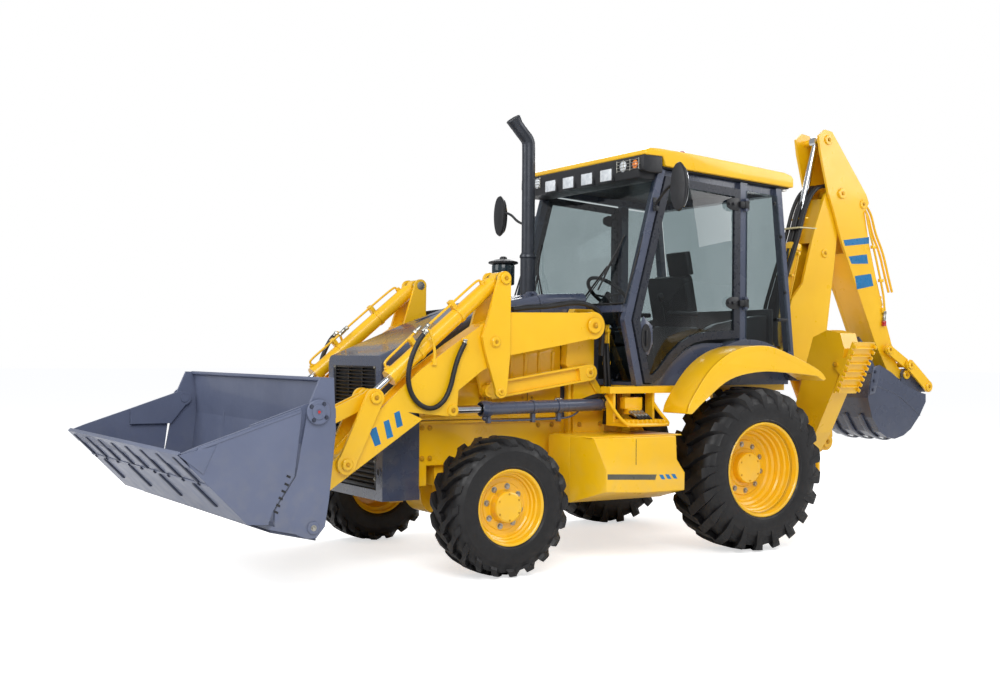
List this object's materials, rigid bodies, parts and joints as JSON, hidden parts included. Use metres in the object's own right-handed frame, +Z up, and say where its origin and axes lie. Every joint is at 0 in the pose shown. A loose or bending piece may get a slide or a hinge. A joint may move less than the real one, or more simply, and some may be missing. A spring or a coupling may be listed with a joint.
{
  "type": "backhoe loader",
  "caption": "Compact wheeled backhoe loader: front arms with a clam-shell bucket, glazed cab, and a folded rear digging arm between two raised stabilizers",
  "frame": {"origin": "on the ground, under the middle of the overall length and on the middle plane", "axes": "+X runs forward to the loader bucket, +Y to the machine's left, +Z up"},
  "size_m": [7.497, 2.564, 3.4799],
  "materials": {
    "yellow": "bright yellow paint",
    "slate": "dark slate blue paint",
    "black": "matt black paint",
    "tyre": "black rubber",
    "chrome": "polished hydraulic rod",
    "steel": "oily cast metal",
    "pin": "plain steel pin",
    "glass": "tinted safety glass",
    "plastic": "black textured plastic",
    "fabric": "black seat cloth"
  },
  "bodies": {
    "chassis": {"main_frame": "yellow", "axles": "steel", "loader_towers": "yellow", "engine": "steel", "bonnet_surround": "slate", "grille": "black", "stacks": "black", "side_tanks": "yellow", "cab_frame": "slate", "platform": "yellow", "cab_roof": "yellow", "roof_lamps": "black", "cab_glass": "glass", "fenders": "yellow", "cab_interior": "fabric", "mirrors": "plastic"},
    "steer_left": {"knuckle_left": "yellow"},
    "steer_right": {"knuckle_right": "yellow"},
    "wheel_front_left": {"front_left_tyre": "tyre", "front_left_rim": "yellow"},
    "wheel_front_right": {"front_right_tyre": "tyre", "front_right_rim": "yellow"},
    "wheel_rear_left": {"rear_left_tyre": "tyre", "rear_left_rim": "yellow"},
    "wheel_rear_right": {"rear_right_tyre": "tyre", "rear_right_rim": "yellow"},
    "bonnet": {"bonnet": "slate"},
    "door_left": {"door_left": "yellow"},
    "door_right": {"door_right": "yellow"},
    "loader_arms": {"loader_arms": "yellow"},
    "guide_levers": {"guide_levers": "yellow"},
    "lever_pins": {"lever_pins": "pin"},
    "tie_rods": {"tie_rods": "yellow"},
    "lift_cylinders": {"lift_cylinders": "slate"},
    "lift_rods": {"lift_rods": "chrome"},
    "tilt_cylinders": {"tilt_cylinders": "yellow"},
    "tilt_rods": {"tilt_rods": "chrome"},
    "rocker_pins": {"rocker_pins": "pin"},
    "rockers": {"rockers": "yellow"},
    "link_pins": {"link_pins": "pin"},
    "bucket_links": {"bucket_links": "yellow"},
    "bucket_pins": {"bucket_pins": "pin"},
    "loader_bucket": {"loader_bucket": "slate"},
    "clam_jaw": {"clam_jaw": "slate"},
    "swing_post": {"swing_post": "yellow"},
    "hoe_boom": {"hoe_boom": "yellow"},
    "boom_cylinder": {"boom_cylinder": "yellow"},
    "boom_rod": {"boom_rod": "chrome"},
    "dipper": {"dipper": "yellow"},
    "crowd_cylinder": {"crowd_cylinder": "yellow"},
    "crowd_rod": {"crowd_rod": "chrome"},
    "hoe_bucket": {"hoe_bucket": "slate"},
    "hoe_rockers": {"hoe_rockers": "yellow"},
    "hoe_link": {"hoe_link": "yellow"},
    "curl_cylinder": {"curl_cylinder": "yellow"},
    "curl_rod": {"curl_rod": "chrome"},
    "stabilizer_left": {"stabilizer_left": "yellow"},
    "stabilizer_right": {"stabilizer_right": "yellow"},
    "pad_left": {"pad_left": "yellow"},
    "pad_right": {"pad_right": "yellow"}
  },
  "joints": [
    {"name": "steer_left", "type": "hinge", "parent": "chassis", "child": "steer_left", "pos_m": [1.4635, 0.69, 0.465], "axis": [0, 0, 1], "range_deg": [-30, 30]},
    {"name": "steer_right", "type": "hinge", "parent": "chassis", "child": "steer_right", "pos_m": [1.4635, -0.69, 0.465], "axis": [0, 0, 1], "range_deg": [-30.5, 30.5]},
    {"name": "wheel_front_left_spin", "type": "hinge", "parent": "steer_left", "child": "wheel_front_left", "pos_m": [1.4635, 0.963, 0.465], "axis": [0, 1, 0], "continuous": true},
    {"name": "wheel_front_right_spin", "type": "hinge", "parent": "steer_right", "child": "wheel_front_right", "pos_m": [1.4635, -0.963, 0.465], "axis": [0, 1, 0], "continuous": true},
    {"name": "wheel_rear_left_spin", "type": "hinge", "parent": "chassis", "child": "wheel_rear_left", "pos_m": [-0.7865, 0.908, 0.62], "axis": [0, 1, 0], "continuous": true},
    {"name": "wheel_rear_right_spin", "type": "hinge", "parent": "chassis", "child": "wheel_rear_right", "pos_m": [-0.7865, -0.908, 0.62], "axis": [0, 1, 0], "continuous": true},
    {"name": "bonnet_lift", "type": "hinge", "parent": "chassis", "child": "bonnet", "pos_m": [0.7955, 0, 1.925], "axis": [0, -1, 0], "range_deg": [0, 50]},
    {"name": "door_left_swing", "type": "hinge", "parent": "chassis", "child": "door_left", "pos_m": [-0.8685, 0.806, 2], "axis": [0, 0, 1], "range_deg": [0, 95]},
    {"name": "door_right_swing", "type": "hinge", "parent": "chassis", "child": "door_right", "pos_m": [-0.8685, -0.806, 2], "axis": [0, 0, -1], "range_deg": [0, 95]},
    {"name": "lift", "type": "hinge", "parent": "chassis", "child": "loader_arms", "pos_m": [0.5005, 0, 1.686], "axis": [0, -1, 0], "range_deg": [-6, 70]},
    {"name": "guide_lever_turn", "type": "hinge", "parent": "loader_arms", "child": "guide_levers", "pos_m": [1.3585, 0, 1.558], "axis": [0, -1, 0], "range_deg": [-75, 8]},
    {"name": "lever_pin_turn", "type": "hinge", "parent": "guide_levers", "child": "lever_pins", "pos_m": [1.2835, 0, 1.998], "axis": [0, -1, 0], "range_deg": [-8, 82]},
    {"name": "tie_rod_turn", "type": "hinge", "parent": "chassis", "child": "tie_rods", "pos_m": [0.4505, 0, 1.344], "axis": [0, -1, 0], "range_deg": [-8, 75]},
    {"name": "lift_cylinder_turn", "type": "hinge", "parent": "chassis", "child": "lift_cylinders", "pos_m": [0.3435, 0, 1.112], "axis": [0, -1, 0], "range_deg": [-6, 59]},
    {"name": "lift_rod_slide", "type": "slide", "parent": "lift_cylinders", "child": "lift_rods", "axis": [0.9999, 0, -0.0165], "range_m": [-0.06, 0.58]},
    {"name": "rocker_pin_turn", "type": "hinge", "parent": "loader_arms", "child": "rocker_pins", "pos_m": [2.4725, 0, 0.758], "axis": [0, -1, 0], "range_deg": [-75, 8]},
    {"name": "rocker_turn", "type": "hinge", "parent": "rocker_pins", "child": "rockers", "pos_m": [2.4725, 0, 0.758], "axis": [0, 1, 0], "range_deg": [-1, 70]},
    {"name": "tilt_cylinder_turn", "type": "hinge", "parent": "lever_pins", "child": "tilt_cylinders", "pos_m": [1.2835, 0, 1.998], "axis": [0, 1, 0], "range_deg": [-12, 1]},
    {"name": "tilt_rod_slide", "type": "slide", "parent": "tilt_cylinders", "child": "tilt_rods", "axis": [0.7718, 0, -0.6359], "range_m": [-0.01, 0.58]},
    {"name": "bucket_pin_turn", "type": "hinge", "parent": "loader_arms", "child": "bucket_pins", "pos_m": [2.7035, 0, 0.6], "axis": [0, -1, 0], "range_deg": [-75, 8]},
    {"name": "bucket_tilt", "type": "hinge", "parent": "bucket_pins", "child": "loader_bucket", "pos_m": [2.7035, 0, 0.6], "axis": [0, 1, 0], "range_deg": [0, 72]},
    {"name": "link_pin_turn", "type": "hinge", "parent": "loader_bucket", "child": "link_pins", "pos_m": [2.7135, 0, 0.99], "axis": [0, -1, 0], "range_deg": [-1, 52]},
    {"name": "bucket_link_turn", "type": "hinge", "parent": "link_pins", "child": "bucket_links", "pos_m": [2.7135, 0, 0.99], "axis": [0, -1, 0], "range_deg": [-5, 43]},
    {"name": "jaw_opening", "type": "hinge", "parent": "loader_bucket", "child": "clam_jaw", "pos_m": [2.9115, 0, 1.127], "axis": [0, -1, 0], "range_deg": [0, 55]},
    {"name": "hoe_swing", "type": "hinge", "parent": "chassis", "child": "swing_post", "pos_m": [-2.2665, 0, 0.73], "axis": [0, 0, 1], "range_deg": [-80, 80]},
    {"name": "boom_lower", "type": "hinge", "parent": "swing_post", "child": "hoe_boom", "pos_m": [-2.4765, 0, 0.72], "axis": [0, -1, 0], "range_deg": [0, 105]},
    {"name": "boom_cylinder_turn", "type": "hinge", "parent": "swing_post", "child": "boom_cylinder", "pos_m": [-2.3465, 0, 1.02], "axis": [0, -1, 0], "range_deg": [-1, 116]},
    {"name": "boom_rod_slide", "type": "slide", "parent": "boom_cylinder", "child": "boom_rod", "axis": [-0.07, 0, 0.9976], "range_m": [-0.005, 0.53]},
    {"name": "dipper_open", "type": "hinge", "parent": "hoe_boom", "child": "dipper", "pos_m": [-2.6165, 0, 2.928], "axis": [0, 1, 0], "range_deg": [0, 115]},
    {"name": "crowd_cylinder_turn", "type": "hinge", "parent": "hoe_boom", "child": "crowd_cylinder", "pos_m": [-1.8965, 0, 1.4], "axis": [0, 1, 0], "range_deg": [-1, 5]},
    {"name": "crowd_rod_slide", "type": "slide", "parent": "crowd_cylinder", "child": "crowd_rod", "axis": [-0.2661, 0, 0.9639], "range_m": [-0.8399, 0.005]},
    {"name": "hoe_bucket_open", "type": "hinge", "parent": "dipper", "child": "hoe_bucket", "pos_m": [-3.4465, 0, 1.31], "axis": [0, 1, 0], "range_deg": [0, 115]},
    {"name": "hoe_rocker_turn", "type": "hinge", "parent": "dipper", "child": "hoe_rockers", "pos_m": [-3.1965, 0, 1.54], "axis": [0, 1, 0], "range_deg": [-1, 120]},
    {"name": "hoe_link_turn", "type": "hinge", "parent": "hoe_rockers", "child": "hoe_link", "pos_m": [-3.4465, 0, 1.4], "axis": [0, 1, 0], "range_deg": [-180, 180]},
    {"name": "curl_cylinder_turn", "type": "hinge", "parent": "dipper", "child": "curl_cylinder", "pos_m": [-2.8925, 0, 2.852], "axis": [0, 1, 0], "range_deg": [-40, 40]},
    {"name": "curl_rod_slide", "type": "slide", "parent": "curl_cylinder", "child": "curl_rod", "axis": [-0.3565, 0, -0.9343], "range_m": [-0.505, 0.02]},
    {"name": "stabilizer_left_lower", "type": "hinge", "parent": "chassis", "child": "stabilizer_left", "pos_m": [-1.9465, 0.29, 0.6], "axis": [-1, 0, 0], "range_deg": [0, 90]},
    {"name": "stabilizer_right_lower", "type": "hinge", "parent": "chassis", "child": "stabilizer_right", "pos_m": [-1.9465, -0.29, 0.6], "axis": [1, 0, 0], "range_deg": [0, 90]},
    {"name": "pad_left_tilt", "type": "hinge", "parent": "stabilizer_left", "child": "pad_left", "pos_m": [-1.9465, 0.835, 1.41], "axis": [1, 0, 0], "range_deg": [-8, 28]},
    {"name": "pad_right_tilt", "type": "hinge", "parent": "stabilizer_right", "child": "pad_right", "pos_m": [-1.9465, -0.835, 1.41], "axis": [-1, 0, 0], "range_deg": [-8, 28]}
  ],
  "couplings": [
    {"joint": "steer_right", "follows": "steer_left", "ratio": 1},
    {"joint": "guide_lever_turn", "follows": "lift", "ratio": -1},
    {"joint": "lever_pin_turn", "follows": "lift", "ratio": 1.0904},
    {"joint": "tie_rod_turn", "follows": "lift", "ratio": 1},
    {"joint": "lift_cylinder_turn", "follows": "lift", "ratio": 0.7806},
    {"joint": "lift_rod_slide", "follows": "lift", "m_per_rad": 0.44593},
    {"joint": "rocker_pin_turn", "follows": "lift", "ratio": -1},
    {"joint": "bucket_pin_turn", "follows": "lift", "ratio": -1},
    {"joint": "rocker_turn", "follows": "bucket_tilt", "ratio": 0.9467},
    {"joint": "tilt_cylinder_turn", "follows": "bucket_tilt", "ratio": -0.12704},
    {"joint": "tilt_rod_slide", "follows": "bucket_tilt", "m_per_rad": 0.36602},
    {"joint": "link_pin_turn", "follows": "bucket_tilt", "ratio": 0.566},
    {"joint": "bucket_link_turn", "follows": "lift", "ratio": 0.569},
    {"joint": "boom_cylinder_turn", "follows": "boom_lower", "ratio": 1.0347},
    {"joint": "boom_rod_slide", "follows": "boom_lower", "m_per_rad": 0.26968},
    {"joint": "crowd_cylinder_turn", "follows": "dipper_open", "ratio": 0.0297},
    {"joint": "crowd_rod_slide", "follows": "dipper_open", "m_per_rad": -0.41778},
    {"joint": "hoe_rocker_turn", "follows": "hoe_bucket_open", "ratio": 1.0001},
    {"joint": "hoe_link_turn", "follows": "hoe_bucket_open", "ratio": -1.1006},
    {"joint": "curl_cylinder_turn", "follows": "hoe_bucket_open", "ratio": 0.010569},
    {"joint": "curl_rod_slide", "follows": "hoe_bucket_open", "m_per_rad": -0.24632}
  ]
}
